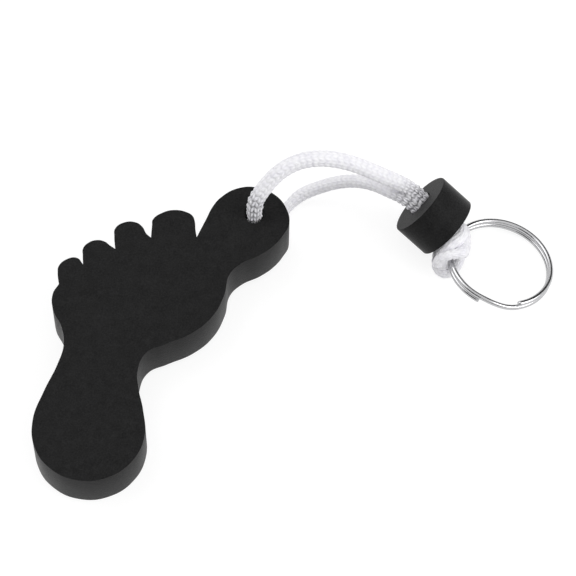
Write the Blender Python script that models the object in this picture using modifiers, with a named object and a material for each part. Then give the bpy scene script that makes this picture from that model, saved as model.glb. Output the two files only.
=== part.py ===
"""Floating keychain: a foam foot, a knitted cord with a foam bead, and a split ring.

Blender 4.5. Metres, +Z up. The keychain lies as it comes to rest, with the foot to the left, the
ring to the right and the cord between them. The origin is under the middle of the solid pieces,
on the surface that they lie on.
"""

import math

import bmesh
import bpy
import numpy as np
from mathutils import Matrix, Vector

MM = 0.001
CLEARANCE = 0.35 * MM

# Foam pieces
FOOT_THICKNESS = 12.0 * MM
RIM_ROUNDING = 0.45 * MM

# Foot outline, in the foot's own frame: heel at the origin, toes towards +Y, big toe at +X
HEEL_CENTRE = (-0.2 * MM, -0.25 * MM)
HEEL_RADIUS = 14.0 * MM
BIG_TOE_CENTRE = (12.0 * MM, 68.9 * MM)
BIG_TOE_RADIUS = 10.2 * MM
SECOND_TOE_CENTRE = (-3.8 * MM, 57.6 * MM)
SECOND_TOE_RADIUS = 7.15 * MM
MIDDLE_TOE_CENTRE = (-14.0 * MM, 52.2 * MM)
MIDDLE_TOE_RADIUS = 4.5 * MM
FOURTH_TOE_CENTRE = (-19.4 * MM, 44.4 * MM)
FOURTH_TOE_RADIUS = 4.0 * MM
LITTLE_TOE_CENTRE = (-22.5 * MM, 37.1 * MM)
LITTLE_TOE_RADIUS = 4.3 * MM
CORD_HOLE_DIAMETER = 5.0 * MM
CORD_HOLE_OFFSET = (0.3 * MM, 2.4 * MM)

# The sharp notches and the freely curved stretches of the outline, in millimetres
BIG_TOE_NOTCH = (1.6, 59.2)
SECOND_TOE_CORNER = [(0.3, 61.2), (-0.8, 63.2), (-2.0, 64.4)]
SECOND_TOE_SIDE = [(-10.3, 57.7)]
SECOND_TOE_NOTCH = (-9.0, 54.3)
MIDDLE_TOE_CORNER = [(-10.5, 54.8), (-12.3, 56.2)]
MIDDLE_TOE_SIDE = [(-17.7, 50.8)]
MIDDLE_TOE_NOTCH = (-15.9, 47.6)
FOURTH_TOE_CORNER = [(-17.4, 47.9)]
FOURTH_TOE_SIDE = [(-22.6, 42.5)]
FOURTH_TOE_NOTCH = (-21.4, 40.2)
LITTLE_TOE_SIDE = [(-26.3, 35.6)]
LITTLE_TOE_NOTCH = (-24.5, 32.6)
OUTER_SIDE = [(-24.7, 29.6), (-22.7, 25.6), (-18.6, 22.1), (-15.9, 17.9), (-14.9, 12.2), (-14.7, 4.3)]
ARCH_SIDE = [(9.8, 10.0), (6.4, 14.6), (4.0, 19.2), (3.9, 24.3), (7.3, 28.5), (12.0, 34.0)]
BALL_SIDE = [(14.7, 40.3), (14.9, 47.1), (13.7, 53.0), (15.1, 57.0), (18.5, 61.3), (20.6, 65.3), (21.5, 69.2)]
BIG_TOE_SIDE = [(1.6, 69.0), (1.6, 65.0)]

# How the foot lies: on the heel's back edge, and with the big toe up on the cord
HEEL_PLACE = (-51.7 * MM, -28.2 * MM)
FOOT_TURN = math.radians(-24.0)
FOOT_RISE_HEADING = math.radians(102.0)

# Bead: a short cylinder with an oval bore for the two strands side by side
BEAD_DIAMETER = 17.7 * MM
BEAD_LENGTH = 9.8 * MM
BEAD_FAR_FACE_CENTRE = (38.5 * MM, 31.3 * MM, 8.6 * MM)
BEAD_HEADING = math.radians(-29.8)
BEAD_DIP = math.radians(32.8)
BORE_ROLL = math.radians(26.6)

# Split ring: two turns of steel wire, which change places over a short crossing
RING_OUTER_DIAMETER = 28.0 * MM
RING_WIRE_DIAMETER = 1.4 * MM
RING_TURN_GAP = 0.1 * MM
RING_PLACE = (52.1 * MM, 22.9 * MM)
RING_TILT = math.radians(13.2)
RING_TILT_HEADING = math.radians(28.8)
RING_END_ANGLE = math.radians(243.0)
RING_CROSSING = math.radians(44.0)
RING_POINTS_PER_TURN = 40

# Cord: one length of knitted cord, slimmer where the knot, the bead and the toe squeeze it
CORD_DIAMETER = 3.3 * MM
CORD_SQUEEZED_DIAMETER = 3.0 * MM
BORE_STATIONS = (9.8 * MM, 7.1 * MM, 4.7 * MM, 2.4 * MM, 0.0, -2.5 * MM)

# The cord's route in millimetres, from the end that lies outside the ring to the end inside it
KNOT_UPPER_ROUTE = [
    (35.7, 21.3, 6.2), (36.0, 21.5, 8.5), (37.7, 21.7, 10.5), (40.2, 22.2, 10.7), (41.9, 23.7, 9.4),
    (42.3, 25.7, 8.8), (42.4, 27.8, 9.1), (42.0, 29.9, 9.4), (40.4, 31.7, 8.9),
]
UPPER_STRAND_ROUTE = [
    (25.3, 38.4, 19.6), (20.3, 38.5, 23.3), (14.9, 39.0, 26.6), (9.2, 39.3, 28.8), (3.6, 39.1, 29.4),
    (-1.4, 38.2, 28.4), (-5.7, 36.3, 26.2), (-8.8, 34.3, 23.0), (-10.9, 32.5, 19.6),
]
UNDER_TOE_ROUTE = [
    (-11.3, 31.2, 15.3), (-11.4, 31.4, 11.3), (-11.3, 31.7, 6.3), (-11.6, 32.1, 3.6), (-10.5, 33.1, 1.9),
    (-8.9, 34.5, 1.6), (-6.3, 37.4, 1.6), (-4.3, 40.0, 1.6), (-2.2, 42.6, 1.7),
]
LOWER_STRAND_ROUTE = [
    (0.7, 45.0, 2.6), (4.0, 45.8, 4.2), (8.3, 45.8, 6.8), (13.7, 44.6, 10.2), (19.1, 41.9, 13.0),
    (23.7, 38.8, 14.3),
]
KNOT_LOWER_ROUTE = [
    (37.9, 29.6, 6.8), (37.3, 28.9, 4.7), (36.3, 27.1, 3.0), (35.9, 25.0, 2.2), (36.2, 22.8, 2.2),
    (38.0, 21.4, 2.3), (40.1, 21.8, 3.1), (41.4, 23.3, 4.4), (42.0, 25.0, 5.6),
]
CORD_POINT_TURN = math.radians(21)
CORD_POINT_SPACING = 5.0 * MM

SPLINE_STEPS = 8
CURVE_STEPS = 5
BEAD_SEGMENTS = 56


def new_collection(name):
    collection = bpy.data.collections.new(name)
    bpy.context.scene.collection.children.link(collection)
    return collection


def new_material(name, colour, roughness, metallic=0.0):
    material = bpy.data.materials.new(name)
    material.use_nodes = True
    shader = material.node_tree.nodes["Principled BSDF"]
    shader.inputs["Base Color"].default_value = (*colour, 1.0)
    shader.inputs["Roughness"].default_value = roughness
    shader.inputs["Metallic"].default_value = metallic
    return material


def mesh_from_curve(curve_object, collection):
    """Turn a curve object into a mesh object with its caps welded, in the same place."""
    graph = bpy.context.evaluated_depsgraph_get()
    mesh = bpy.data.meshes.new_from_object(curve_object.evaluated_get(graph))
    welded = bmesh.new()
    welded.from_mesh(mesh)
    bmesh.ops.remove_doubles(welded, verts=welded.verts, dist=0.01 * MM)
    welded.to_mesh(mesh)
    welded.free()
    result = bpy.data.objects.new(curve_object.name + "_mesh", mesh)
    result.matrix_world = curve_object.matrix_world.copy()
    collection.objects.link(result)
    bpy.data.objects.remove(curve_object)
    return result


def slab_from_outline(name, points, thickness, collection):
    """Fill a closed outline of (x, y, handle) points and give it its thickness, centred on Z."""
    curve = bpy.data.curves.new(name, "CURVE")
    curve.dimensions = "2D"
    curve.fill_mode = "BOTH"
    curve.extrude = thickness / 2
    curve.resolution_u = CURVE_STEPS
    spline = curve.splines.new("BEZIER")
    spline.bezier_points.add(len(points) - 1)
    spline.use_cyclic_u = True
    for knot, (x, y, handle) in zip(spline.bezier_points, points):
        knot.co = (x, y, 0.0)
        knot.handle_left_type = handle
        knot.handle_right_type = handle
    outline = bpy.data.objects.new(name, curve)
    collection.objects.link(outline)
    bpy.context.view_layer.update()
    return mesh_from_curve(outline, collection)


def arc(centre, radius, first_degrees, last_degrees, count):
    """Points of the outline on a round stretch, counterclockwise."""
    points = []
    for angle in np.radians(np.linspace(first_degrees, last_degrees, count)):
        x = centre[0] + radius * math.cos(angle)
        y = centre[1] + radius * math.sin(angle)
        points.append((x, y, "AUTO"))
    return points


def stretch(places):
    """Points of the outline on a freely curved stretch."""
    return [(x * MM, y * MM, "AUTO") for x, y in places]


def notch(place):
    """The sharp inner corner between two toes."""
    return [(place[0] * MM, place[1] * MM, "VECTOR")]


def foot_outline():
    """The foot print, counterclockwise from the notch beside the big toe."""
    return (
        notch(BIG_TOE_NOTCH)
        + stretch(SECOND_TOE_CORNER)
        + arc(SECOND_TOE_CENTRE, SECOND_TOE_RADIUS, 88, 168, 4)
        + stretch(SECOND_TOE_SIDE)
        + notch(SECOND_TOE_NOTCH)
        + stretch(MIDDLE_TOE_CORNER)
        + arc(MIDDLE_TOE_CENTRE, MIDDLE_TOE_RADIUS, 95, 172, 3)
        + stretch(MIDDLE_TOE_SIDE)
        + notch(MIDDLE_TOE_NOTCH)
        + stretch(FOURTH_TOE_CORNER)
        + arc(FOURTH_TOE_CENTRE, FOURTH_TOE_RADIUS, 90, 182, 4)
        + stretch(FOURTH_TOE_SIDE)
        + notch(FOURTH_TOE_NOTCH)
        + arc(LITTLE_TOE_CENTRE, LITTLE_TOE_RADIUS, 105, 180, 3)
        + stretch(LITTLE_TOE_SIDE)
        + notch(LITTLE_TOE_NOTCH)
        + stretch(OUTER_SIDE)
        + arc(HEEL_CENTRE, HEEL_RADIUS, 195, 375, 7)
        + stretch(ARCH_SIDE)
        + stretch(BALL_SIDE)
        + arc(BIG_TOE_CENTRE, BIG_TOE_RADIUS, 20, 160, 6)
        + stretch(BIG_TOE_SIDE)
    )


def hole_place():
    """The cord hole's centre in the foot's own frame: near the middle of the big toe."""
    return Vector((BIG_TOE_CENTRE[0] + CORD_HOLE_OFFSET[0], BIG_TOE_CENTRE[1] + CORD_HOLE_OFFSET[1], 0.0))


def foot_matrix():
    """Turn the foot, then lift the big toe until the cord fits under it beside the hole."""
    turn = Matrix.Rotation(FOOT_TURN, 4, "Z")
    rise = Vector((math.cos(FOOT_RISE_HEADING), math.sin(FOOT_RISE_HEADING), 0.0))
    heel_reach = HEEL_RADIUS - (turn @ Vector((*HEEL_CENTRE, 0.0))).dot(rise)
    arm = (turn @ hole_place()).dot(rise) + heel_reach
    lean = math.asin((CORD_SQUEEZED_DIAMETER + CLEARANCE) / arm)
    resting_point = Vector((HEEL_PLACE[0], HEEL_PLACE[1], 0.0)) - rise * heel_reach
    leaning = Matrix.Rotation(lean, 4, rise.cross(Vector((0.0, 0.0, 1.0))))
    flat = Matrix.Translation(rise * heel_reach + Vector((0.0, 0.0, FOOT_THICKNESS / 2))) @ turn
    return Matrix.Translation(resting_point) @ leaning @ flat


def round_rims(part):
    """Round the long edges of a cut foam piece."""
    bevel = part.modifiers.new("rim", "BEVEL")
    bevel.width = RIM_ROUNDING
    bevel.segments = 2
    bevel.limit_method = "ANGLE"
    bevel.angle_limit = math.radians(50)


def cut(part, cutter, cutters):
    """Take the cutter's shape out of the part, and keep the cutter as a hidden guide."""
    cutters.objects.link(cutter)
    cutter.hide_render = True
    cutter.display_type = "WIRE"
    boolean = part.modifiers.new("cut_" + cutter.name, "BOOLEAN")
    boolean.operation = "DIFFERENCE"
    boolean.solver = "EXACT"
    boolean.object = cutter


def cylinder(name, diameter, height, segments):
    mesh = bpy.data.meshes.new(name)
    shape = bmesh.new()
    bmesh.ops.create_cone(
        shape, cap_ends=True, segments=segments, radius1=diameter / 2, radius2=diameter / 2, depth=height
    )
    shape.to_mesh(mesh)
    shape.free()
    return bpy.data.objects.new(name, mesh)


def smooth(part):
    part.data.shade_smooth()
    part.data.set_sharp_from_angle(angle=math.radians(40))


def make_foot(parts, cutters):
    foot = slab_from_outline("foam_float", foot_outline(), FOOT_THICKNESS, parts)
    foot.name = "foam_float"
    foot.matrix_world = foot_matrix()
    round_rims(foot)
    hole = cylinder("cord_hole", CORD_HOLE_DIAMETER, FOOT_THICKNESS * 2, 32)
    hole.matrix_world = foot.matrix_world @ Matrix.Translation(hole_place())
    cut(foot, hole, cutters)
    smooth(foot)
    foot.data.materials.append(new_material("black_foam", (0.022, 0.022, 0.023), 0.75))
    return foot


def bead_axes():
    """The bead's axis towards the ring, and the line through its two strands."""
    level = Vector((-math.sin(BEAD_HEADING), math.cos(BEAD_HEADING), 0.0))
    ahead = Vector((math.cos(BEAD_HEADING), math.sin(BEAD_HEADING), 0.0))
    axis = ahead * math.cos(BEAD_DIP) - Vector((0.0, 0.0, math.sin(BEAD_DIP)))
    rise = axis.cross(level)
    if rise.z < 0:
        rise = -rise
    pair = level * math.cos(BORE_ROLL) + rise * math.sin(BORE_ROLL)
    return axis, pair


def strand_offset():
    """Half the distance between the two strands where they lie side by side in the bead."""
    return (CORD_SQUEEZED_DIAMETER + CLEARANCE) / 2


def make_bead(parts, cutters):
    axis, pair = bead_axes()
    turn = Matrix((pair, axis.cross(pair), axis)).transposed().to_4x4()
    centre = Vector(BEAD_FAR_FACE_CENTRE) - axis * BEAD_LENGTH / 2
    bead = cylinder("float_bead", BEAD_DIAMETER, BEAD_LENGTH, BEAD_SEGMENTS)
    bead.matrix_world = Matrix.Translation(centre) @ turn
    parts.objects.link(bead)
    round_rims(bead)
    reach = strand_offset()
    end_radius = CORD_SQUEEZED_DIAMETER / 2 + CLEARANCE
    oval = arc((reach, 0.0), end_radius, -90, 90, 5) + arc((-reach, 0.0), end_radius, 90, 270, 5)
    bore = slab_from_outline("bead_bore", oval, BEAD_LENGTH * 2, parts)
    parts.objects.unlink(bore)
    bore.matrix_world = bead.matrix_world
    cut(bead, bore, cutters)
    smooth(bead)
    bead.data.materials.append(new_material("black_bead_foam", (0.022, 0.022, 0.023), 0.75))
    return bead


def tube(name, points, radii, diameter, collection):
    """A round tube with filled ends along straight runs between the points."""
    curve = bpy.data.curves.new(name, "CURVE")
    curve.dimensions = "3D"
    curve.bevel_depth = diameter / 2
    curve.bevel_resolution = 2
    curve.use_fill_caps = True
    spline = curve.splines.new("POLY")
    spline.points.add(len(points) - 1)
    for knot, point, radius in zip(spline.points, points, radii):
        knot.co = (*point, 1.0)
        knot.radius = radius
    result = bpy.data.objects.new(name, curve)
    collection.objects.link(result)
    return result


def ring_points():
    """The wire's centre line: the lower turn, the crossing, and the upper turn."""
    radius = (RING_OUTER_DIAMETER - RING_WIRE_DIAMETER) / 2
    rise = RING_WIRE_DIAMETER + RING_TURN_GAP
    turn_angle = 2 * math.pi - RING_CROSSING
    total = 2 * turn_angle + RING_CROSSING
    count = math.ceil(total / (2 * math.pi) * RING_POINTS_PER_TURN) + 1
    points = []
    for travelled in np.linspace(0.0, total, count):
        share = min(max((travelled - turn_angle) / RING_CROSSING, 0.0), 1.0)
        angle = RING_END_ANGLE - travelled
        height = rise * (share * share * (3.0 - 2.0 * share) - 0.5)
        points.append((radius * math.cos(angle), radius * math.sin(angle), height))
    return points


def ring_matrix():
    """Tilt the ring about a level line, with its lowest wire on the ground."""
    radius = (RING_OUTER_DIAMETER - RING_WIRE_DIAMETER) / 2
    half_stack = (RING_WIRE_DIAMETER + RING_TURN_GAP) / 2
    height = radius * math.sin(RING_TILT) + half_stack * math.cos(RING_TILT) + RING_WIRE_DIAMETER / 2
    level = Vector((-math.sin(RING_TILT_HEADING), math.cos(RING_TILT_HEADING), 0.0))
    place = Matrix.Translation(Vector((RING_PLACE[0], RING_PLACE[1], height)))
    return place @ Matrix.Rotation(RING_TILT, 4, level)


def make_ring(parts):
    points = ring_points()
    ring = tube("split_ring", points, [1.0] * len(points), RING_WIRE_DIAMETER, parts)
    ring.matrix_world = ring_matrix()
    ring.data.materials.append(new_material("bright_steel", (0.72, 0.72, 0.73), 0.22, 1.0))
    return ring


def in_metres(places):
    return [tuple(value * MM for value in place) for place in places]


def smooth_curve(places):
    """Read points from the natural cubic spline through the places, spaced by chord length."""
    knots = np.array(places)
    spans = np.linalg.norm(np.diff(knots, axis=0), axis=1)
    count = len(knots)
    system = np.eye(count)
    right = np.zeros_like(knots)
    for i in range(1, count - 1):
        system[i, i - 1] = spans[i - 1]
        system[i, i] = 2 * (spans[i - 1] + spans[i])
        system[i, i + 1] = spans[i]
        right[i] = 6 * ((knots[i + 1] - knots[i]) / spans[i] - (knots[i] - knots[i - 1]) / spans[i - 1])
    bend = np.linalg.solve(system, right)
    stations = np.linspace(0, count - 1, (count - 1) * SPLINE_STEPS + 1)
    points = []
    for station in stations:
        i = min(int(station), count - 2)
        ahead = (station - i) * spans[i]
        left = spans[i] - ahead
        straight = (knots[i] * left + knots[i + 1] * ahead) / spans[i]
        early = bend[i] * (left**3 - spans[i] ** 2 * left)
        late = bend[i + 1] * (ahead**3 - spans[i] ** 2 * ahead)
        points.append(Vector(straight + (early + late) / (6 * spans[i])))
    return points, stations


def needed_points(points):
    """Choose the points that a run of straight pieces needs to follow the bends."""
    kept = [0]
    last_heading = points[1] - points[0]
    for i in range(1, len(points) - 1):
        heading = points[i + 1] - points[i]
        turned = heading.angle(last_heading) > CORD_POINT_TURN
        if turned or (points[i] - points[kept[-1]]).length > CORD_POINT_SPACING:
            kept.append(i)
            last_heading = heading
    return kept + [len(points) - 1]


def bore_route(side):
    """One strand's points along the bore, from the far face to just outside the near face."""
    axis, pair = bead_axes()
    near_face = Vector(BEAD_FAR_FACE_CENTRE) - axis * BEAD_LENGTH
    start = near_face + pair * side * strand_offset()
    return [tuple(start + axis * station) for station in BORE_STATIONS]


def make_cord(parts):
    squeezed = CORD_SQUEEZED_DIAMETER / CORD_DIAMETER
    upper_knot = in_metres(KNOT_UPPER_ROUTE)
    lower_knot = in_metres(KNOT_LOWER_ROUTE)
    upper = in_metres(UPPER_STRAND_ROUTE)
    toe = in_metres(UNDER_TOE_ROUTE)
    lower = in_metres(LOWER_STRAND_ROUTE)
    stretches = [
        (upper_knot + bore_route(1), squeezed), (upper, 1.0), (toe, squeezed), (lower, 1.0),
        (bore_route(-1)[::-1] + lower_knot, squeezed),
    ]
    route = [place for places, radius in stretches for place in places]
    route_radii = [radius for places, radius in stretches for place in places]
    points, stations = smooth_curve(route)
    kept = needed_points(points)
    radii = np.interp(stations, np.arange(len(route)), route_radii)
    cord = tube("cord", [points[i] for i in kept], [radii[i] for i in kept], CORD_DIAMETER, parts)
    cord.data.materials.append(new_material("white_cord", (0.86, 0.86, 0.88), 0.85))
    return cord


def main():
    for old in list(bpy.data.objects):
        bpy.data.objects.remove(old)
    parts = new_collection("floating_keychain")
    cutters = new_collection("cutters")
    make_foot(parts, cutters)
    make_bead(parts, cutters)
    make_ring(parts)
    make_cord(parts)


main()
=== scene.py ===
"""Floating keychain: the looks of the foam foot, the bead, the knitted cord and the split ring.

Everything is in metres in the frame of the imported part. The foot lies to the left with its big toe
up on the cord, the ring lies to the right, and the camera looks down at them from the front.
"""

import logging
import math
from dataclasses import dataclass, field
from enum import Enum
from typing import Callable, Dict, List, Optional, Sequence, Tuple, Union

import bmesh
import bpy
import numpy as np
from mathutils import Matrix, Quaternion, Vector, noise


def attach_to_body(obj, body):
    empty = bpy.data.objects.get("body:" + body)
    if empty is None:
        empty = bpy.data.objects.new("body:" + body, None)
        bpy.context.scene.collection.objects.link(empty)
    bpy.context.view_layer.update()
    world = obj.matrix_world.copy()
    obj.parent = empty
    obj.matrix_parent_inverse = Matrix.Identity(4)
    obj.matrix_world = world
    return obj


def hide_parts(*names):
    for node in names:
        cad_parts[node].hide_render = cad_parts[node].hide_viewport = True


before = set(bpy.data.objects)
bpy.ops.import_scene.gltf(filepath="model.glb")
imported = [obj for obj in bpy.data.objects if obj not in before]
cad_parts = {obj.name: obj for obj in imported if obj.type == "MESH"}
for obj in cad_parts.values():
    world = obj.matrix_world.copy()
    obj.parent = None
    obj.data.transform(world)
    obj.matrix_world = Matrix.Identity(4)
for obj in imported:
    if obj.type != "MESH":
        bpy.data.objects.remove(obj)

log = logging.getLogger("keychain")

MM = 0.001
TINY = 1e-6
UP = (0.0, 0.0, 1.0)

Place = Tuple[float, float, float]
Pair = Tuple[float, float]
Circle = Tuple[float, float, float]
Colour = Tuple[float, float, float, float]
Value = Union[bpy.types.NodeSocket, float, Place, Colour]
Inputs = Dict[Union[str, int], Value]
RadiusAt = Callable[[int, float], Pair]


class Body(Enum):
    """The rigid bodies of the part that a piece can ride on."""

    FLOAT_AND_CORD = "float_and_cord"
    BEAD = "bead"
    RING = "ring"


class Slot(Enum):
    """The record's material slots."""

    BLACK_FOAM = "black_foam"
    WHITE_CORD = "white_cord"
    BRIGHT_STEEL = "bright_steel"


class Handle(Enum):
    """How the outline bends at one of its points."""

    ROUND = "AUTO"
    CORNER = "VECTOR"


OutlinePoint = Tuple[float, float, Handle]


# Materials

# The UV maps, and the attribute of painted shade in the knit's gaps, that the pieces hand to their
# materials.
KNIT_MAP = "knit"
WIRE_MAP = "wire"
PAINTED_GAP_SHADE = "relief"

# How far a stitch's leg leans along the cord, in stitches for one column.
KNIT_SLANT = 0.95

# The places of a Mix node's sockets when it mixes colours.
MIX_FACTOR = 0
MIX_LOW = 6
MIX_HIGH = 7
MIX_RESULT = 2


class NodeBench:
    """A small helper that adds and joins the nodes of one material."""

    def __init__(self, name: str) -> None:
        """Start a material with only its output node.

        Args:
            name: The material's name.
        """
        self.material = bpy.data.materials.new(name)
        self.material.use_nodes = True
        self.tree = self.material.node_tree
        self.tree.nodes.clear()

    def node(
        self, kind: str, inputs: Optional[Inputs] = None, **settings: object
    ) -> bpy.types.Node:
        """Add a node, set its properties and feed its inputs.

        Args:
            kind: The node's type name.
            inputs: A socket or a plain value for some of its inputs, by name or number.
            **settings: The node's own properties.

        Returns:
            The new node.
        """
        made = self.tree.nodes.new(kind)
        for key, value in settings.items():
            setattr(made, key, value)
        for key, value in (inputs or {}).items():
            if isinstance(value, bpy.types.NodeSocket):
                self.tree.links.new(value, made.inputs[key])
            else:
                made.inputs[key].default_value = value
        return made

    def maths(self, operation: str, first: Value, second: Value = 0.0) -> bpy.types.NodeSocket:
        """Add a Math node whose inputs are sockets or numbers."""
        return self.node("ShaderNodeMath", {0: first, 1: second}, operation=operation).outputs[0]

    def noise(self, vector: Value, scale: float, detail: float) -> bpy.types.NodeSocket:
        """Add a noise texture over some coordinates, with its scale and its finer layers."""
        inputs = {"Vector": vector, "Scale": scale, "Detail": detail}
        return self.node("ShaderNodeTexNoise", inputs).outputs["Fac"]

    def stretch(self, value: Value, contrast: float, level: float) -> bpy.types.NodeSocket:
        """Widen a noise value's spread about its middle of 0.5, and set its level."""
        centred = self.maths("SUBTRACT", value, 0.5)
        return self.maths("ADD", self.maths("MULTIPLY", centred, contrast), level)

    def blend_colours(self, factor: Value, low: Value, high: Value) -> bpy.types.NodeSocket:
        """Mix two colours, the first at a factor of 0 and the second at 1."""
        inputs = {MIX_FACTOR: factor, MIX_LOW: low, MIX_HIGH: high}
        return self.node("ShaderNodeMix", inputs, data_type="RGBA").outputs[MIX_RESULT]

    def bump(self, height: Value, strength: float, distance: float) -> bpy.types.NodeSocket:
        """Turn a height into a normal, where the distance in metres is the height of 1."""
        inputs = {"Height": height, "Strength": strength, "Distance": distance}
        return self.node("ShaderNodeBump", inputs).outputs["Normal"]

    def matt(self, tone: float) -> bpy.types.NodeSocket:
        """Add a matt grey surface."""
        return self.node("ShaderNodeBsdfDiffuse", {"Color": (tone, tone, tone, 1.0)}).outputs[0]

    def finish(self, surface: bpy.types.NodeSocket) -> bpy.types.Material:
        """Join the surface to an output node and hand the material over."""
        self.node("ShaderNodeOutputMaterial", {"Surface": surface})
        return self.material

    def principled(self, inputs: Inputs) -> bpy.types.Material:
        """Finish the material with a Principled surface of some inputs."""
        return self.finish(self.node("ShaderNodeBsdfPrincipled", inputs).outputs[0])


@dataclass(frozen=True)
class FoamFinish:
    """Black closed-cell foam: matt, with fine cells and a soft glow at grazing angles."""

    name: str
    dark: Colour = (0.002, 0.002, 0.0021, 1.0)
    light: Colour = (0.013, 0.013, 0.0133, 1.0)
    contrast: float = 2.6
    roughness: float = 0.6
    index: float = 1.22
    sheen: float = 0.20
    sheen_roughness: float = 0.35
    cell: float = 0.40 * MM
    cell_detail: float = 2.0
    cell_share: float = 0.7
    cloud: float = 2.6 * MM
    cloud_detail: float = 3.0
    bump_depth: float = 0.09 * MM
    bump_strength: float = 0.8

    def build(self) -> bpy.types.Material:
        """Make the foam, whose tone follows its cells and some wider clouds.

        Returns:
            The material.
        """
        bench = NodeBench(self.name)
        place = bench.node("ShaderNodeTexCoord").outputs["Object"]
        cells = bench.noise(place, 1.0 / self.cell, self.cell_detail)
        clouds = bench.noise(place, 1.0 / self.cloud, self.cloud_detail)
        fine = bench.maths("MULTIPLY", cells, self.cell_share)
        wide = bench.maths("MULTIPLY", clouds, 1.0 - self.cell_share)
        tone = bench.stretch(bench.maths("ADD", fine, wide), self.contrast, 0.5)
        inputs = {
            "Base Color": bench.blend_colours(tone, self.dark, self.light),
            "Normal": bench.bump(cells, self.bump_strength, self.bump_depth),
            "Roughness": self.roughness,
            "IOR": self.index,
            "Sheen Weight": self.sheen,
            "Sheen Roughness": self.sheen_roughness,
        }
        return bench.principled(inputs)


@dataclass(frozen=True)
class CordFinish:
    """White knitted yarn, whose fine threads follow the legs of the stitches."""

    name: str
    # The gap colour is painted shade in the gaps between the stitches.
    gap_shade: Colour = (0.10, 0.10, 0.11, 1.0)
    yarn: Colour = (0.85, 0.845, 0.87, 1.0)
    shaded: Colour = (0.76, 0.75, 0.81, 1.0)
    roughness: float = 0.85
    sheen: float = 0.5
    sheen_roughness: float = 0.5
    slant: float = KNIT_SLANT
    threads_across: float = 9.0
    threads_around: float = 1.7
    thread_detail: float = 2.0
    thread_depth: float = 0.07 * MM
    thread_strength: float = 0.7
    mottle_scale: float = 750.0
    mottle_detail: float = 2.0
    mottle_contrast: float = 2.2
    mottle_level: float = 0.75

    def build(self) -> bpy.types.Material:
        """Make the yarn, which is mottled, with painted shade in the gaps of the knit.

        Returns:
            The material.
        """
        bench = NodeBench(self.name)
        knit_map = bench.node("ShaderNodeUVMap", uv_map=KNIT_MAP).outputs[0]
        split = bench.node("ShaderNodeSeparateXYZ", {0: knit_map})
        around, along = split.outputs[0], split.outputs[1]
        centred = bench.maths("SUBTRACT", bench.maths("FRACT", around), 0.5)
        lag = bench.maths("MULTIPLY", bench.maths("ABSOLUTE", centred), self.slant)
        across = bench.maths("SUBTRACT", along, lag)
        x = bench.maths("MULTIPLY", across, self.threads_across)
        y = bench.maths("MULTIPLY", around, self.threads_around)
        threads = bench.node("ShaderNodeCombineXYZ", {0: x, 1: y}).outputs[0]
        fibres = bench.noise(threads, 1.0, self.thread_detail)
        place = bench.node("ShaderNodeTexCoord").outputs["Object"]
        soft = bench.noise(place, self.mottle_scale, self.mottle_detail)
        mottle = bench.stretch(soft, self.mottle_contrast, self.mottle_level)
        pale = bench.blend_colours(mottle, self.shaded, self.yarn)
        # The relief attribute is painted shade, which darkens the yarn in the gaps of the knit.
        relief = bench.node("ShaderNodeAttribute", attribute_name=PAINTED_GAP_SHADE).outputs["Fac"]
        inputs = {
            "Base Color": bench.blend_colours(relief, self.gap_shade, pale),
            "Normal": bench.bump(fibres, self.thread_strength, self.thread_depth),
            "Roughness": self.roughness,
            "Sheen Weight": self.sheen,
            "Sheen Roughness": self.sheen_roughness,
        }
        return bench.principled(inputs)


@dataclass(frozen=True)
class SteelFinish:
    """Bright nickel-plated wire with faint scuffs along it."""

    name: str
    colour: Colour = (0.60, 0.60, 0.61, 1.0)
    worn: Colour = (0.42, 0.42, 0.43, 1.0)
    smooth: float = 0.17
    scuffed: float = 0.24
    scuff_scale: Place = (7.0, 90.0, 1.0)
    scuff_detail: float = 4.0
    scuff_range: Pair = (0.35, 0.75)
    scuff_depth: float = 0.01 * MM
    scuff_strength: float = 0.05

    def build(self) -> bpy.types.Material:
        """Make the wire, rougher and darker where it is scuffed.

        Returns:
            The material.
        """
        bench = NodeBench(self.name)
        wire_map = bench.node("ShaderNodeUVMap", uv_map=WIRE_MAP).outputs[0]
        place = bench.node("ShaderNodeMapping", {0: wire_map, "Scale": self.scuff_scale}).outputs[0]
        scuffs = bench.noise(place, 1.0, self.scuff_detail)
        spread = {
            "Value": scuffs,
            "From Min": self.scuff_range[0],
            "From Max": self.scuff_range[1],
            "To Min": self.smooth,
            "To Max": self.scuffed,
        }
        inputs = {
            "Metallic": 1.0,
            "Roughness": bench.node("ShaderNodeMapRange", spread).outputs[0],
            "Base Color": bench.blend_colours(scuffs, self.colour, self.worn),
            "Normal": bench.bump(scuffs, self.scuff_strength, self.scuff_depth),
        }
        return bench.principled(inputs)


@dataclass(frozen=True)
class FloorFinish:
    """A white floor that shows as white paper, with the soft shadow of what lies on it."""

    name: str
    tone: float = 0.88
    glow: float = 1.12
    share: float = 0.72

    def build(self) -> bpy.types.Material:
        """Make the floor, which glows only for the camera, for mirrors and for glass.

        Returns:
            The material.
        """
        bench = NodeBench(self.name)
        rays = bench.node("ShaderNodeLightPath").outputs
        seen = bench.maths("MAXIMUM", rays["Is Camera Ray"], rays["Is Glossy Ray"])
        seen = bench.maths("MAXIMUM", seen, rays["Is Transmission Ray"])
        light = bench.node("ShaderNodeEmission", {"Strength": self.glow}).outputs[0]
        glow = bench.maths("MULTIPLY", seen, self.share)
        mix = bench.node("ShaderNodeMixShader", {0: glow, 1: bench.matt(self.tone), 2: light})
        return bench.finish(mix.outputs[0])


@dataclass(frozen=True)
class CardFinish:
    """A matt studio card."""

    name: str
    tone: float

    def build(self) -> bpy.types.Material:
        """Make the card's paint."""
        bench = NodeBench(self.name)
        return bench.finish(bench.matt(self.tone))


# Shared shape helpers


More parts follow.
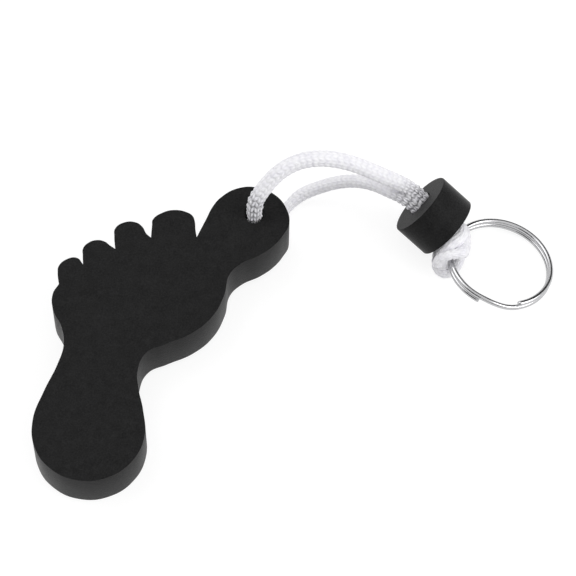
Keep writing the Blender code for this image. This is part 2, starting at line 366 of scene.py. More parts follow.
def finished_object(
    name: str, shape: bmesh.types.BMesh, material: bpy.types.Material
) -> bpy.types.Object:
    """Turn a bmesh into an object at the origin.

    Args:
        name: The object's name.
        shape: The bmesh, which is freed.
        material: The finish for all its faces.

    Returns:
        The new object, linked to the scene.
    """
    mesh = bpy.data.meshes.new(name)
    shape.to_mesh(mesh)
    shape.free()
    mesh.materials.append(material)
    made = bpy.data.objects.new(name, mesh)
    bpy.context.scene.collection.objects.link(made)
    return made


def in_metres(places: Sequence[Place]) -> List[Vector]:
    """Turn places in millimetres into vectors in metres."""
    return [Vector(place) * MM for place in places]


def smooth_curve(places: Sequence[Vector], steps: int) -> Tuple[np.ndarray, np.ndarray]:
    """Read points from the natural cubic spline through some places, spaced by chord length.

    Args:
        places: The places that the curve goes through.
        steps: How many points are read for each span.

    Returns:
        The points, and for each point its station, which counts the places passed.
    """
    knots = np.array([tuple(place) for place in places])
    spans = np.linalg.norm(np.diff(knots, axis=0), axis=1)
    count = len(knots)
    system = np.eye(count)
    right = np.zeros_like(knots)
    for i in range(1, count - 1):
        system[i, i - 1 : i + 2] = (spans[i - 1], 2 * (spans[i - 1] + spans[i]), spans[i])
        onward = (knots[i + 1] - knots[i]) / spans[i]
        right[i] = 6 * (onward - (knots[i] - knots[i - 1]) / spans[i - 1])
    bend = np.linalg.solve(system, right)
    stations = np.linspace(0, count - 1, (count - 1) * steps + 1)
    points = []
    for station in stations:
        i = min(int(station), count - 2)
        ahead = (station - i) * spans[i]
        left = spans[i] - ahead
        early = bend[i] * (left**3 - spans[i] ** 2 * left)
        late = bend[i + 1] * (ahead**3 - spans[i] ** 2 * ahead)
        straight = (knots[i] * left + knots[i + 1] * ahead) / spans[i]
        points.append(straight + (early + late) / (6 * spans[i]))
    return np.array(points), stations


@dataclass
class Track:
    """A path with even stations and steady cross directions, for shapes that follow it."""

    points: np.ndarray
    normals: np.ndarray
    sides: np.ndarray
    lengths: np.ndarray

    @classmethod
    def along(cls, points: np.ndarray, first_normal: Vector) -> "Track":
        """Carry a cross direction along a run of points without twisting it.

        Args:
            points: The points of the path.
            first_normal: A rough cross direction at its start.

        Returns:
            The track.
        """
        tangents = np.gradient(points, axis=0)
        tangents /= np.linalg.norm(tangents, axis=1)[:, None]
        normal = np.array(first_normal)
        normals = []
        for tangent in tangents:
            normal = normal - tangent * normal.dot(tangent)
            normal /= np.linalg.norm(normal)
            normals.append(normal)
        steps = np.linalg.norm(np.diff(points, axis=0), axis=1)
        lengths = np.concatenate(([0.0], np.cumsum(steps)))
        return cls(points, np.array(normals), np.cross(tangents, np.array(normals)), lengths)

    def across(self, row: int, angle: float) -> np.ndarray:
        """The direction from the path to the surface, at a row and an angle."""
        return self.normals[row] * math.cos(angle) + self.sides[row] * math.sin(angle)


# How close the two edges of a wrapped grid lie where they are welded, in metres.
WELD_DISTANCE = 0.5e-6


def wrapped_tube(
    track: Track, around: int, radius_at: RadiusAt, layer: str, uv_size: Pair
) -> bmesh.types.BMesh:
    """Wrap a grid round a track as a closed tube with capped ends.

    Args:
        track: The path to follow, with one row of the grid for each point.
        around: How many faces go round the tube.
        radius_at: Gives the radius and the painted shade for a row and an angle.
        layer: The name of the UV map.
        uv_size: What the UV map runs to around and along.

    Returns:
        The tube as a bmesh, with an attribute of painted shade.
    """
    rows = len(track.points) - 1
    shape = bmesh.new()
    uv = shape.loops.layers.uv.new(layer)
    relief = shape.verts.layers.float.new(PAINTED_GAP_SHADE)
    bmesh.ops.create_grid(shape, x_segments=around, y_segments=rows, size=0.5, calc_uvs=True)
    for face in shape.faces:
        for loop in face.loops:
            place = loop.vert.co
            loop[uv].uv = ((place.x + 0.5) * uv_size[0], (place.y + 0.5) * uv_size[1])
    for vert in shape.verts:
        row = min(round((vert.co.y + 0.5) * rows), rows)
        angle = (vert.co.x + 0.5) * 2 * math.pi
        # The second value is painted shade for the knit's gaps, and 1 where none is painted.
        radius, height = radius_at(row, angle)
        vert[relief] = height
        vert.co = Vector(track.points[row] + track.across(row, angle) * radius)
    bmesh.ops.remove_doubles(shape, verts=shape.verts, dist=WELD_DISTANCE)
    open_edges = [edge for edge in shape.edges if edge.is_boundary]
    bmesh.ops.holes_fill(shape, edges=open_edges, sides=0)
    bmesh.ops.recalc_face_normals(shape, faces=shape.faces)
    for face in shape.faces:
        # The caps have more than four corners and stay flat.
        face.smooth = len(face.verts) == 4
    return shape


# What counts as level among a slab's edges, as a rim, and as its flat top or bottom.
LEVEL_SHARE = 0.1
RIM_ANGLE = math.radians(60)
FLAT_NORMAL = 0.999
RIM_SEGMENTS = 4


def punched_slab(
    shape: bmesh.types.BMesh,
    thickness: float,
    rim: float,
    hole_rim: float,
    hole_reach: Tuple[Vector, float],
) -> None:
    """Fill the flat loops of a bmesh, give them a thickness centred on Z, and round all rims.

    Args:
        shape: The bmesh, which holds an outer loop and the loop of a hole at Z = 0.
        thickness: The slab's thickness.
        rim: How far the outer rims are rounded.
        hole_rim: How far the rims of the hole are rounded.
        hole_reach: The hole's centre, and a radius that holds the whole hole and nothing else.
    """
    bmesh.ops.triangle_fill(shape, use_beauty=True, use_dissolve=False, edges=shape.edges)
    made = bmesh.ops.extrude_face_region(shape, geom=shape.faces[:])
    upper = [item for item in made["geom"] if isinstance(item, bmesh.types.BMVert)]
    bmesh.ops.translate(shape, verts=upper, vec=(0.0, 0.0, thickness))
    bmesh.ops.translate(shape, verts=shape.verts, vec=(0.0, 0.0, -thickness / 2))
    bmesh.ops.recalc_face_normals(shape, faces=shape.faces)
    centre, reach = hole_reach
    outer = []
    inner = []
    for edge in shape.edges:
        level = abs(edge.verts[0].co.z - edge.verts[1].co.z) < LEVEL_SHARE * thickness
        if level and edge.calc_face_angle(0.0) > RIM_ANGLE:
            middle = (edge.verts[0].co + edge.verts[1].co) / 2
            inside = math.hypot(middle.x - centre.x, middle.y - centre.y) < reach
            (inner if inside else outer).append(edge)
    for edges, width in ((outer, rim), (inner, hole_rim)):
        bmesh.ops.bevel(
            shape,
            geom=edges,
            offset=width,
            offset_type="OFFSET",
            affect="EDGES",
            segments=RIM_SEGMENTS,
            profile=0.5,
            material=-1,
            clamp_overlap=True,
        )
    for face in shape.faces:
        face.smooth = abs(face.normal.z) < FLAT_NORMAL


# The pieces


@dataclass
class FoamFoot:
    """The flat foam float in the outline of a left foot, with the cord's hole in its big toe."""

    thickness: float = 12.0 * MM
    rim: float = 0.6 * MM
    hole_rim: float = 0.35 * MM
    hole_diameter: float = 5.0 * MM
    heel: Circle = (-0.2 * MM, -0.25 * MM, 14.0 * MM)
    big_toe: Circle = (12.0 * MM, 68.9 * MM, 10.2 * MM)
    second_toe: Circle = (-3.8 * MM, 57.6 * MM, 7.15 * MM)
    middle_toe: Circle = (-14.0 * MM, 52.2 * MM, 4.5 * MM)
    fourth_toe: Circle = (-19.4 * MM, 44.4 * MM, 4.0 * MM)
    little_toe: Circle = (-22.5 * MM, 37.1 * MM, 4.3 * MM)
    hole_place: Pair = (12.3 * MM, 71.3 * MM)
    hole_faces: int = 48
    heel_place: Pair = (-51.7 * MM, -28.2 * MM)
    turn: float = math.radians(-24.0)
    rise_heading: float = math.radians(102.0)
    gap_under_toe: float = 3.35 * MM
    curve_steps: int = 12
    weld: float = 0.01 * MM

    def arc(self, circle: Circle, first: float, last: float, count: int) -> List[OutlinePoint]:
        """Points on a round stretch of the outline.

        Args:
            circle: The centre and the radius.
            first: The angle of the first point, in degrees.
            last: The angle of the last point, in degrees.
            count: How many points there are.

        Returns:
            The points, each with its handle.
        """
        x, y, radius = circle
        angles = np.radians(np.linspace(first, last, count))
        return [(x + radius * math.cos(a), y + radius * math.sin(a), Handle.ROUND) for a in angles]

    def stretch(self, *places: Pair) -> List[OutlinePoint]:
        """Points on a freely curved stretch, given in millimetres."""
        return [(x * MM, y * MM, Handle.ROUND) for x, y in places]

    def notch(self, x: float, y: float) -> List[OutlinePoint]:
        """The sharp inner corner between two toes, given in millimetres."""
        return [(x * MM, y * MM, Handle.CORNER)]

    def outline(self) -> List[OutlinePoint]:
        """The whole outline, counterclockwise from the notch beside the big toe.

        Returns:
            The points, each with its handle.
        """
        return (
            self.notch(1.6, 59.2)
            + self.stretch((0.3, 61.2), (-0.8, 63.2), (-2.0, 64.4))
            + self.arc(self.second_toe, 88, 168, 4)
            + self.stretch((-10.3, 57.7))
            + self.notch(-9.0, 54.3)
            + self.stretch((-10.5, 54.8), (-12.3, 56.2))
            + self.arc(self.middle_toe, 95, 172, 3)
            + self.stretch((-17.7, 50.8))
            + self.notch(-15.9, 47.6)
            + self.stretch((-17.4, 47.9))
            + self.arc(self.fourth_toe, 90, 182, 4)
            + self.stretch((-22.6, 42.5))
            + self.notch(-21.4, 40.2)
            + self.arc(self.little_toe, 105, 180, 3)
            + self.stretch((-26.3, 35.6))
            + self.notch(-24.5, 32.6)
            + self.stretch((-24.7, 29.6), (-22.7, 25.6), (-18.6, 22.1), (-15.9, 17.9))
            + self.stretch((-14.9, 12.2), (-14.7, 4.3))
            + self.arc(self.heel, 195, 375, 7)
            + self.stretch((9.8, 10.0), (6.4, 14.6), (4.0, 19.2), (3.9, 24.3), (7.3, 28.5))
            + self.stretch((12.0, 34.0), (14.7, 40.3), (14.9, 47.1), (13.7, 53.0), (15.1, 57.0))
            + self.stretch((18.5, 61.3))
            + self.stretch((20.6, 65.3), (21.5, 69.2))
            + self.arc(self.big_toe, 20, 160, 6)
            + self.stretch((1.6, 69.0), (1.6, 65.0))
        )

    def matrix(self) -> Matrix:
        """The foot's place: turned, and lifted at the toe until the cord fits under it.

        Returns:
            The matrix from the flat outline's frame to the world.
        """
        up = Vector(UP)
        turn = Matrix.Rotation(self.turn, 4, "Z")
        rise = Vector((math.cos(self.rise_heading), math.sin(self.rise_heading), 0.0))
        reach = self.heel[2] - (turn @ Vector((*self.heel[:2], 0.0))).dot(rise)
        arm = (turn @ Vector((*self.hole_place, 0.0))).dot(rise) + reach
        lean = math.asin(self.gap_under_toe / arm)
        resting_point = Vector((*self.heel_place, 0.0)) - rise * reach
        leaning = Matrix.Rotation(lean, 4, rise.cross(up))
        flat = Matrix.Translation(rise * reach + up * (self.thickness / 2)) @ turn
        return Matrix.Translation(resting_point) @ leaning @ flat

    def outline_loop(self) -> bpy.types.Mesh:
        """Draw the outline as a flat curve and read it as a mesh of edges.

        Returns:
            The mesh.
        """
        curve = bpy.data.curves.new("foot_outline", "CURVE")
        curve.dimensions = "2D"
        curve.fill_mode = "NONE"
        curve.resolution_u = self.curve_steps
        spline = curve.splines.new("BEZIER")
        points = self.outline()
        spline.bezier_points.add(len(points) - 1)
        spline.use_cyclic_u = True
        for knot, (x, y, handle) in zip(spline.bezier_points, points):
            knot.co = (x, y, 0.0)
            knot.handle_left_type = handle.value
            knot.handle_right_type = handle.value
        drawn = bpy.data.objects.new("foot_outline", curve)
        bpy.context.scene.collection.objects.link(drawn)
        bpy.context.view_layer.update()
        graph = bpy.context.evaluated_depsgraph_get()
        mesh = bpy.data.meshes.new_from_object(drawn.evaluated_get(graph))
        bpy.data.objects.remove(drawn)
        return mesh

    def build(self, foam: bpy.types.Material) -> bpy.types.Object:
        """Cut the foot out of its sheet and lay it in its place.

        Args:
            foam: The foam material.

        Returns:
            The foot.
        """
        shape = bmesh.new()
        shape.from_mesh(self.outline_loop())
        bmesh.ops.remove_doubles(shape, verts=shape.verts, dist=self.weld)
        hole = Vector((*self.hole_place, 0.0))
        bmesh.ops.create_circle(
            shape,
            segments=self.hole_faces,
            radius=self.hole_diameter / 2,
            matrix=Matrix.Translation(hole),
        )
        punched_slab(shape, self.thickness, self.rim, self.hole_rim, (hole, self.hole_diameter))
        bmesh.ops.transform(shape, matrix=self.matrix(), verts=shape.verts)
        return finished_object("foam_foot", shape, foam)


@dataclass
class FoamBead:
    """The short foam cylinder with its oval bore for both strands."""

    diameter: float = 17.7 * MM
    length: float = 9.8 * MM
    rim: float = 0.3 * MM
    bore_rim: float = 0.3 * MM
    strand_offset: float = 1.675 * MM
    bore_radius: float = 1.85 * MM
    far_face: Place = (38.5 * MM, 31.3 * MM, 8.6 * MM)
    heading: float = math.radians(-29.8)
    dip: float = math.radians(32.8)
    roll: float = math.radians(26.6)
    faces_around: int = 112
    bore_faces: int = 48

    def axes(self) -> Tuple[Vector, Vector]:
        """The bead's two directions on the cord.

        Returns:
            The axis towards the ring, and the line through the two strands.
        """
        level = Vector((-math.sin(self.heading), math.cos(self.heading), 0.0))
        ahead = Vector((math.cos(self.heading), math.sin(self.heading), 0.0))
        axis = ahead * math.cos(self.dip) - Vector(UP) * math.sin(self.dip)
        rise = axis.cross(level)
        if rise.z < 0:
            rise = -rise
        return axis, level * math.cos(self.roll) + rise * math.sin(self.roll)

    def strand(self, side: int, distances: Sequence[float]) -> List[Vector]:
        """Points of one strand in the bore.

        Args:
            side: 1 for the upper strand and -1 for the lower one.
            distances: How far each point is past the near face.

        Returns:
            The points.
        """
        axis, pair = self.axes()
        start = Vector(self.far_face) - axis * self.length + pair * side * self.strand_offset
        return [start + axis * distance for distance in distances]

    def build(self, foam: bpy.types.Material) -> bpy.types.Object:
        """Cut the bead and set it on the cord.

        Args:
            foam: The foam material.

        Returns:
            The bead.
        """
        axis, pair = self.axes()
        turn = Matrix((pair, axis.cross(pair), axis)).transposed().to_4x4()
        shape = bmesh.new()
        bmesh.ops.create_circle(shape, segments=self.faces_around, radius=self.diameter / 2)
        oval = bmesh.ops.create_circle(shape, segments=self.bore_faces, radius=self.bore_radius)
        for vert in oval["verts"]:
            if abs(vert.co.x) > TINY:
                vert.co.x += math.copysign(self.strand_offset, vert.co.x)
        centre = Vector((0.0, 0.0, 0.0))
        punched_slab(shape, self.length, self.rim, self.bore_rim, (centre, self.diameter / 4))
        place = Matrix.Translation(Vector(self.far_face) - axis * self.length / 2) @ turn
        bmesh.ops.transform(shape, matrix=place, verts=shape.verts)
        return finished_object("foam_bead", shape, foam)


@dataclass(frozen=True)
class Stop:
    """A place on the cord's route, and the cord's sizes there."""

    place: Vector
    radius: float
    depth: float
    press: float


@dataclass(frozen=True)
class CordRows:
    """The rows of the knitted cord: their track, how far along they lie, and their sizes."""

    track: Track
    along: np.ndarray
    radius: np.ndarray
    depth: np.ndarray
    press: np.ndarray


@dataclass
class KnittedCord:
    """One length of knitted cord, from the knot at the ring to the hole in the toe and back."""

    bead: FoamBead
    columns: int = 7
    faces_per_column: int = 10
    stitch: float = 1.55 * MM
    row_step: float = 0.175 * MM
    depth: float = 0.24 * MM
    open_depth: float = 0.62 * MM
    uneven: float = 0.05 * MM
    tufted: float = 0.28 * MM
    tuft_size: float = 0.75 * MM
    slant: float = KNIT_SLANT
    end_length: float = 1.1 * MM
    knot_radius: float = 2.1 * MM
    wrap_radius: float = 1.35 * MM
    bore_radius: float = 1.6 * MM
    mouth_radius: float = 1.6 * MM
    meeting: float = 0.3 * MM
    upper_radius: float = 2.15 * MM
    hole_radius: float = 2.0 * MM
    hole_end_radius: float = 1.45 * MM
    toe_radius: float = 1.5 * MM
    lower_radius: float = 1.78 * MM
    real_length: float = 0.184
    real_diameter: float = 3.3 * MM
    bore_stations: Tuple[float, ...] = (9.8, 7.1, 4.7, 2.4)
    mouth_stations: Tuple[float, ...] = (0.0, -2.5)
    upper_knot: Tuple[Place, ...] = (
        (35.7, 21.3, 6.2), (36.0, 21.5, 8.5), (37.7, 21.7, 10.5), (40.2, 22.2, 10.7),
        (41.9, 23.7, 9.4), (42.3, 25.7, 8.8), (42.4, 27.8, 9.1), (42.0, 29.9, 9.4),
        (40.4, 31.7, 8.9),
    )
    wrapped_places: int = 4
    upper_strand: Tuple[Place, ...] = (
        (25.3, 38.4, 19.6), (20.3, 38.5, 23.3), (14.9, 39.0, 26.6), (9.2, 39.3, 28.8),
        (3.6, 39.1, 29.4), (-1.4, 38.2, 28.4), (-5.7, 36.3, 26.2), (-8.8, 34.3, 23.0),
        (-10.9, 32.5, 19.6),
    )
    through_hole: Tuple[Place, ...] = (
        (-11.3, 31.2, 15.3), (-11.4, 31.4, 11.3), (-11.3, 31.7, 6.3),
    )
    under_toe: Tuple[Place, ...] = (
        (-11.6, 32.1, 3.6), (-10.5, 33.1, 1.9), (-8.9, 34.5, 1.6), (-6.3, 37.4, 1.6),
        (-4.3, 40.0, 1.6), (-2.2, 42.6, 1.7),
    )
    lower_strand: Tuple[Place, ...] = (
        (0.7, 45.0, 2.6), (4.0, 45.8, 4.2), (8.3, 45.8, 6.8), (13.7, 44.6, 10.2),
        (19.1, 41.9, 13.0), (23.7, 38.8, 14.3),
    )
    lower_knot: Tuple[Place, ...] = (
        (37.9, 29.6, 6.8), (37.3, 28.9, 4.7), (36.3, 27.1, 3.0), (35.9, 25.0, 2.2),
        (36.2, 22.8, 2.2), (38.0, 21.4, 2.3), (40.1, 21.8, 3.1), (41.4, 23.3, 4.4),
        (42.0, 25.0, 5.6),
    )
    band: Tuple[Place, ...] = (
        (39.6, 31.6, 10.0), (41.6, 29.6, 10.4), (41.3, 27.2, 10.9), (39.4, 25.4, 11.0),
        (37.9, 24.2, 9.4), (37.3, 22.9, 7.4), (38.1, 21.7, 4.9),
    )
    band_radius: float = 2.0 * MM
    curve_steps: int = 24
    band_steps: int = 12
    rows_per_path_point: int = 4
    leg_power: float = 0.6
    leg_drop: float = 0.55
    tuft_threshold: float = 0.2
    end_bulge: float = 0.93
    path: List[Vector] = field(default_factory=list)

    def route(self) -> List[Stop]:
        """The whole route from end to end, with the cord's sizes at each place.

        Returns:
            The stops.
        """
        inside = [station * MM for station in self.bore_stations]
        mouth = [station * MM for station in self.mouth_stations]
        knot = in_metres(self.upper_knot)
        arch = in_metres(self.upper_strand)
        hole = in_metres(self.through_hole)
        tight, loose = self.depth, self.open_depth
        stretches = (
            (knot[: self.wrapped_places], self.wrap_radius, tight, 0.0),
            (knot[self.wrapped_places :], self.knot_radius, tight, 0.0),
            (self.bead.strand(1, inside), self.bore_radius, tight, 1.0),
            (self.bead.strand(1, mouth), self.mouth_radius, loose, 1.0),
            (arch[:-1], self.upper_radius, tight, 0.0),
            (arch[-1:], self.upper_radius, loose, 0.0),
            (hole[:1], self.hole_radius, loose, 0.0),
            (hole[1:], self.hole_end_radius, loose, 0.0),
            (in_metres(self.under_toe), self.toe_radius, tight, 0.0),
            (in_metres(self.lower_strand), self.lower_radius, tight, 0.0),
            (self.bead.strand(-1, mouth)[::-1], self.mouth_radius, loose, 1.0),
            (self.bead.strand(-1, inside)[::-1], self.bore_radius, tight, 1.0),
            (in_metres(self.lower_knot), self.wrap_radius, tight, 0.0),
        )
        return [Stop(place, *sizes) for run, *sizes in stretches for place in run]

    def rows(self) -> CordRows:
        """Space rows evenly along the route's curve and read the sizes at each.

        Returns:
            The rows.
        """
        route = self.route()
        dense, stations = smooth_curve([stop.place for stop in route], self.curve_steps)
        steps = np.linalg.norm(np.diff(dense, axis=0), axis=1)
        lengths = np.concatenate(([0.0], np.cumsum(steps)))
        count = round(lengths[-1] / self.row_step)
        along = np.linspace(0.0, lengths[-1], count + 1)
        points = np.stack([np.interp(along, lengths, dense[:, axis]) for axis in range(3)], axis=1)
        where = np.interp(along, lengths, stations)
        order = np.arange(len(route))
        radius = np.interp(where, order, [stop.radius for stop in route])
        depth = np.interp(where, order, [stop.depth for stop in route])
        press = np.interp(where, order, [stop.press for stop in route])
        return CordRows(Track.along(points, Vector(UP)), along, radius, depth, press)

    def relief(self, angle: float, along: float) -> float:
        """The height of the knit, from 0 in a gap to 1 on top of a stitch's leg.

        Args:
            angle: How far round the cord the point is.
            along: How far along the cord it is.

        Returns:
            The height.
        """
        column = angle / (2 * math.pi) * self.columns
        aside = abs(column - math.floor(column) - 0.5)
        phase = along / self.stitch - self.slant * aside
        phase -= math.floor(phase)
        leg = max(0.0, 1.0 - (2.0 * phase - 1.0) ** 2) ** self.leg_power
        arch = 1.0 - self.leg_drop * abs(4.0 * aside - 1.0) ** 2
        return leg * arch

    def pressed_radius(
        self, rows: CordRows, row: int, across: np.ndarray, pair: np.ndarray
    ) -> float:
        """The cord's radius, flattened where its two strands meet at the bead.

        Args:
            rows: The cord's rows.
            row: The point's row.
            across: The direction from the cord's middle to the point.
            pair: The direction of the line through the two strands.

        Returns:
            The radius.
        """
        radius = rows.radius[row]
        on_upper_strand = row < (len(rows.along) - 1) / 2
        facing = across.dot(pair) * (-1.0 if on_upper_strand else 1.0)
        if rows.press[row] > 0.0 and facing > 0.0:
            side = math.sqrt(max(1.0 - facing * facing, TINY))
            flat = min(radius / side, (self.bead.strand_offset + self.meeting) / facing)
            radius += rows.press[row] * (flat - radius)
        return radius

    def uneven_by(self, place: np.ndarray, openness: float) -> float:
        """How far the yarn bulges at a place: a little everywhere, more where the knit is open.

        Args:
            place: The place on the cord's surface.
            openness: How open the knit is there, from 0 to 1.

        Returns:
            The bulge.
        """
        tufts = max(0.0, openness * (1.0 + self.tuft_threshold) - self.tuft_threshold)
        size = self.uneven + (self.tufted - self.uneven) * tufts
        return noise.noise(Vector(place / self.tuft_size)) * size

    def closed(self, radius: float, groove: float, along: float, total: float) -> float:
        """Take the relief off a radius, and round the cord off at its two ends.

        Args:
            radius: The radius over the relief.
            groove: How deep the relief goes there.
            along: How far along the cord the point is.
            total: The cord's length.

        Returns:
            The radius of the surface.
        """
        share = min(min(along, total - along) / self.end_length, 1.0)
        closing = math.sqrt(1.0 - (1.0 - share) ** 2 * self.end_bulge)
        return radius * closing - groove * share

    def knitted(
        self, name: str, track: Track, total: float, radius_at: RadiusAt, yarn: bpy.types.Material
    ) -> bpy.types.Object:
        """Knit a piece of cord along a track.

        Args:
            name: The piece's name.
            track: The path of its middle.
            total: Its length.
            radius_at: Gives the radius and the painted shade for a row and an angle.
            yarn: The yarn material.

        Returns:
            The piece.
        """
        around = self.columns * self.faces_per_column
        uv_size = (self.columns, total / self.stitch)
        shape = wrapped_tube(track, around, radius_at, KNIT_MAP, uv_size)
        return finished_object(name, shape, yarn)

    def build(self, yarn: bpy.types.Material) -> bpy.types.Object:
        """Knit the cord along its route, and keep its path.

        Args:
            yarn: The yarn material.

        Returns:
            The cord.
        """
        rows = self.rows()
        track = rows.track
        total = rows.along[-1]
        pair = np.array(self.bead.axes()[1])

        def radius_at(row: int, angle: float) -> Pair:
            """The cord's surface at a row and an angle.

            Args:
                row: The row.
                angle: How far round the cord the point is.

            Returns:
                The radius, and the painted shade that darkens the yarn's colour in the knit's gaps.
            """
            height = self.relief(angle, rows.along[row])
            openness = (rows.depth[row] / self.open_depth) ** 2
            across = track.across(row, angle)
            radius = self.pressed_radius(rows, row, across, pair)
            radius += self.uneven_by(track.points[row] + across * radius, openness)
            groove = rows.depth[row] * (1.0 - height)
            # Painted shade in the gaps between the legs, darkest where the knit is open.
            shade = 1.0 - (1.0 - height) * openness
            return self.closed(radius, groove, rows.along[row], total), shade

        last = len(rows.along) - 1
        chosen = np.linspace(0, last, last // self.rows_per_path_point + 1).astype(int)
        self.path = [Vector(track.points[row]) for row in chosen]
        return self.knitted("knitted_cord", track, total, radius_at, yarn)

    def build_band(self, yarn: bpy.types.Material) -> bpy.types.Object:
        """Knit the short turn of the knot that lies across the ring's wire.

        Args:
            yarn: The yarn material.

        Returns:
            The turn.
        """
        points, _ = smooth_curve(in_metres(self.band), self.band_steps)
        track = Track.along(points, Vector(UP))
        total = track.lengths[-1]

        def radius_at(row: int, angle: float) -> Pair:
            """The turn's surface at a row and an angle.

            Args:
                row: The row.
                angle: How far round the turn the point is.

            Returns:
                The radius, and a factor of 1, because no shade is painted in the turn's gaps.
            """
            along = track.lengths[row]
            groove = self.depth * (1.0 - self.relief(angle, along))
            return self.closed(self.band_radius, groove, along, total), 1.0

        return self.knitted("knot_band", track, total, radius_at, yarn)


@dataclass
class SplitRing:
    """The key ring: two turns of bright wire that change places over a short crossing."""

    outer_diameter: float = 28.0 * MM
    wire: float = 1.4 * MM
    turn_gap: float = 0.1 * MM
    place: Pair = (52.1 * MM, 22.9 * MM)
    tilt: float = math.radians(13.2)
    tilt_heading: float = math.radians(28.8)
    end_angle: float = math.radians(243.0)
    end_taper: float = 0.84
    crossing: float = math.radians(44.0)
    rows_per_turn: int = 180
    faces_around: int = 24
    map_length: float = 60.0

    def matrix(self) -> Matrix:
        """The ring's place: tilted about a level line, with its lowest wire on the ground.

        Returns:
            The matrix from the ring's own frame to the world.
        """
        radius = (self.outer_diameter - self.wire) / 2
        half_stack = (self.wire + self.turn_gap) / 2
        rise = radius * math.sin(self.tilt) + half_stack * math.cos(self.tilt)
        height = rise + self.wire / 2
        level = Vector((-math.sin(self.tilt_heading), math.cos(self.tilt_heading), 0.0))
        place = Matrix.Translation(Vector((*self.place, height)))
        return place @ Matrix.Rotation(self.tilt, 4, level)

    def centre_line(self) -> np.ndarray:
        """The wire's own line: the lower turn, the crossing, and the upper turn.

        Returns:
            The points of the line.
        """
        radius = (self.outer_diameter - self.wire) / 2
        turn_angle = 2 * math.pi - self.crossing
        total = 2 * turn_angle + self.crossing
        count = math.ceil(total / (2 * math.pi) * self.rows_per_turn) + 1
        matrix = self.matrix()
        points = []
        for travelled in np.linspace(0.0, total, count):
            share = min(max((travelled - turn_angle) / self.crossing, 0.0), 1.0)
            eased = share * share * (3.0 - 2.0 * share)
            angle = self.end_angle - travelled
            height = (self.wire + self.turn_gap) * (eased - 0.5)
            spot = Vector((radius * math.cos(angle), radius * math.sin(angle), height))
            points.append(matrix @ spot)
        return np.array([tuple(point) for point in points])

    def build(self, steel: bpy.types.Material) -> bpy.types.Object:
        """Wind the wire and soften its cut ends.

        Args:
            steel: The wire's material.

        Returns:
            The ring.
        """
        points = self.centre_line()
        track = Track.along(points, self.matrix().to_3x3() @ Vector(UP))
        ends = (0, len(points) - 1)

        def radius_at(row: int, angle: float) -> Pair:
            """The wire's radius, a little less at both ends, and no painted shade."""
            return self.wire / 2 * (self.end_taper if row in ends else 1.0), 1.0

        shape = wrapped_tube(track, self.faces_around, radius_at, WIRE_MAP, (1.0, self.map_length))
        return finished_object("steel_ring", shape, steel)


@dataclass(frozen=True)
class Lamp:
    """A square soft light that faces the object, with its side in metres and its power in watts."""

    name: str
    centre: Place
    size: float
    power: float


@dataclass(frozen=True)
class Card:
    """A card that faces the object, with its width and height in metres and its grey."""

    name: str
    centre: Place
    size: Pair
    tone: float


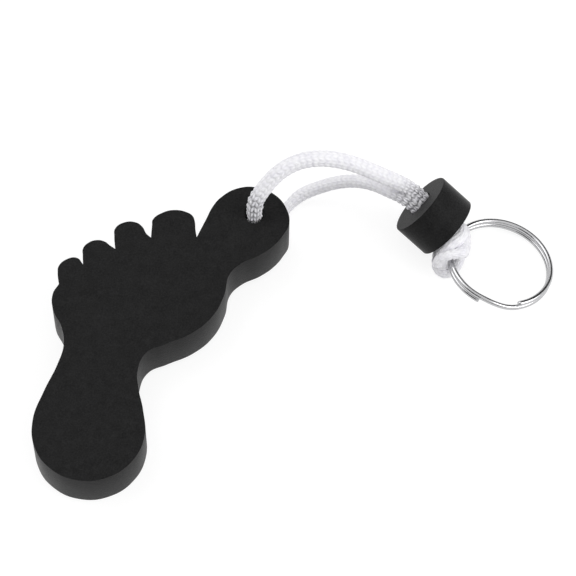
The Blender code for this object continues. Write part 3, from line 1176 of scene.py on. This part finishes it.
@dataclass
class Studio:
    """The camera, the white floor, the soft lights and the dark cards that the metal mirrors."""

    aim: Place = (-2.7 * MM, 18.3 * MM, 0.0)
    distance: float = 0.70
    elevation: float = math.radians(60.0)
    pixels_per_metre: float = 3860.0
    frame_pixels: float = 576.0
    sensor: float = 36.0
    clip_start: float = 0.01
    floor_size: float = 6.0
    fill: float = 1.0
    lamps: Tuple[Lamp, ...] = (
        Lamp("soft_top_left", (-0.9, 0.5, 1.5), 1.2, 7.5),
        Lamp("soft_right", (1.2, -0.3, 0.9), 0.9, 8.0),
    )
    cards: Tuple[Card, ...] = (
        Card("dark_card_right", (0.9, 0.9, 0.7), (1.0, 1.2), 0.02),
        Card("dark_card_back", (0.35, 1.2, 0.55), (0.8, 0.7), 0.01),
        Card("dark_card_left", (-0.8, -0.9, 0.7), (0.9, 1.1), 0.02),
        Card("dark_card_front", (0.1, -1.3, 0.3), (1.2, 0.35), 0.02),
    )

    def camera(self) -> None:
        """Set the camera at the photograph's viewing angle."""
        lens = bpy.data.cameras.new("camera")
        lens.sensor_width = self.sensor
        lens.lens = self.pixels_per_metre * self.distance / self.frame_pixels * self.sensor
        lens.clip_start = self.clip_start
        made = bpy.data.objects.new("camera", lens)
        back = Vector((0.0, -math.cos(self.elevation), math.sin(self.elevation)))
        made.location = Vector(self.aim) + back * self.distance
        made.rotation_euler = (math.pi / 2 - self.elevation, 0.0, 0.0)
        bpy.context.scene.collection.objects.link(made)
        bpy.context.scene.camera = made

    def facing(self, centre: Place, front: str) -> Quaternion:
        """The turn that points the front of something at a place towards the object."""
        return (Vector(self.aim) - Vector(centre)).to_track_quat(front, "Y")

    def floor(self) -> None:
        """Lay the white floor."""
        shape = bmesh.new()
        bmesh.ops.create_grid(shape, x_segments=1, y_segments=1, size=self.floor_size / 2)
        finished_object("studio_floor", shape, FloorFinish("white_floor").build())

    def hang_card(self, card: Card) -> None:
        """Hang a card that faces the object.

        Args:
            card: The card.
        """
        shape = bmesh.new()
        bmesh.ops.create_grid(shape, x_segments=1, y_segments=1, size=0.5)
        bmesh.ops.scale(shape, vec=(*card.size, 1.0), verts=shape.verts)
        turn = self.facing(card.centre, "Z").to_matrix().to_4x4()
        place = Matrix.Translation(card.centre) @ turn
        bmesh.ops.transform(shape, matrix=place, verts=shape.verts)
        paint = CardFinish(card.name + "_paint", card.tone).build()
        finished_object(card.name, shape, paint)

    def hang_lamp(self, lamp: Lamp) -> None:
        """Hang a square soft light that faces the object.

        Args:
            lamp: The light.
        """
        light = bpy.data.lights.new(lamp.name, "AREA")
        light.shape = "SQUARE"
        light.size = lamp.size
        light.energy = lamp.power
        made = bpy.data.objects.new(lamp.name, light)
        made.location = lamp.centre
        made.rotation_euler = self.facing(lamp.centre, "-Z").to_euler()
        bpy.context.scene.collection.objects.link(made)

    def world(self) -> None:
        """Fill the surroundings with white light."""
        world = bpy.data.worlds.new("white_room")
        bpy.context.scene.world = world
        world.use_nodes = True
        background = world.node_tree.nodes["Background"]
        background.inputs["Color"].default_value = (1.0, 1.0, 1.0, 1.0)
        background.inputs["Strength"].default_value = self.fill

    def build(self) -> None:
        """Set up the whole studio round the camera."""
        self.floor()
        for lamp in self.lamps:
            self.hang_lamp(lamp)
        for card in self.cards:
            self.hang_card(card)
        self.world()


def attach(piece: bpy.types.Object, body: Body, node: str) -> None:
    """Put a finished piece in a CAD node's stead.

    Args:
        piece: The finished piece.
        body: The body that it rides on.
        node: The CAD node that it stands for.
    """
    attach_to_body(piece, body.value)
    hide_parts(node)
    log.info("%s: %d faces", piece.name, len(piece.data.polygons))


def main() -> None:
    """Build the camera, the cord, the other pieces and the studio, in that order."""
    logging.basicConfig(level=logging.INFO, format="%(name)s: %(message)s")
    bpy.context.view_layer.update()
    scene = bpy.context.scene
    scene.view_settings.view_transform = "Standard"
    studio = Studio()
    studio.camera()

    bead = FoamBead()
    cord = KnittedCord(bead)
    yarn = CordFinish("white_yarn").build()
    knitted = cord.build(yarn)
    attach(knitted, Body.FLOAT_AND_CORD, "cord")
    attach(cord.build_band(yarn), Body.FLOAT_AND_CORD, "cord")

    foam = FoamFinish("black_foam_skin").build()
    steel = SteelFinish("nickel_wire").build()
    attach(FoamFoot().build(foam), Body.FLOAT_AND_CORD, "foam_float")
    attach(bead.build(foam), Body.BEAD, "float_bead")
    attach(SplitRing().build(steel), Body.RING, "split_ring")
    studio.build()


if __name__ == "__main__":
    main()
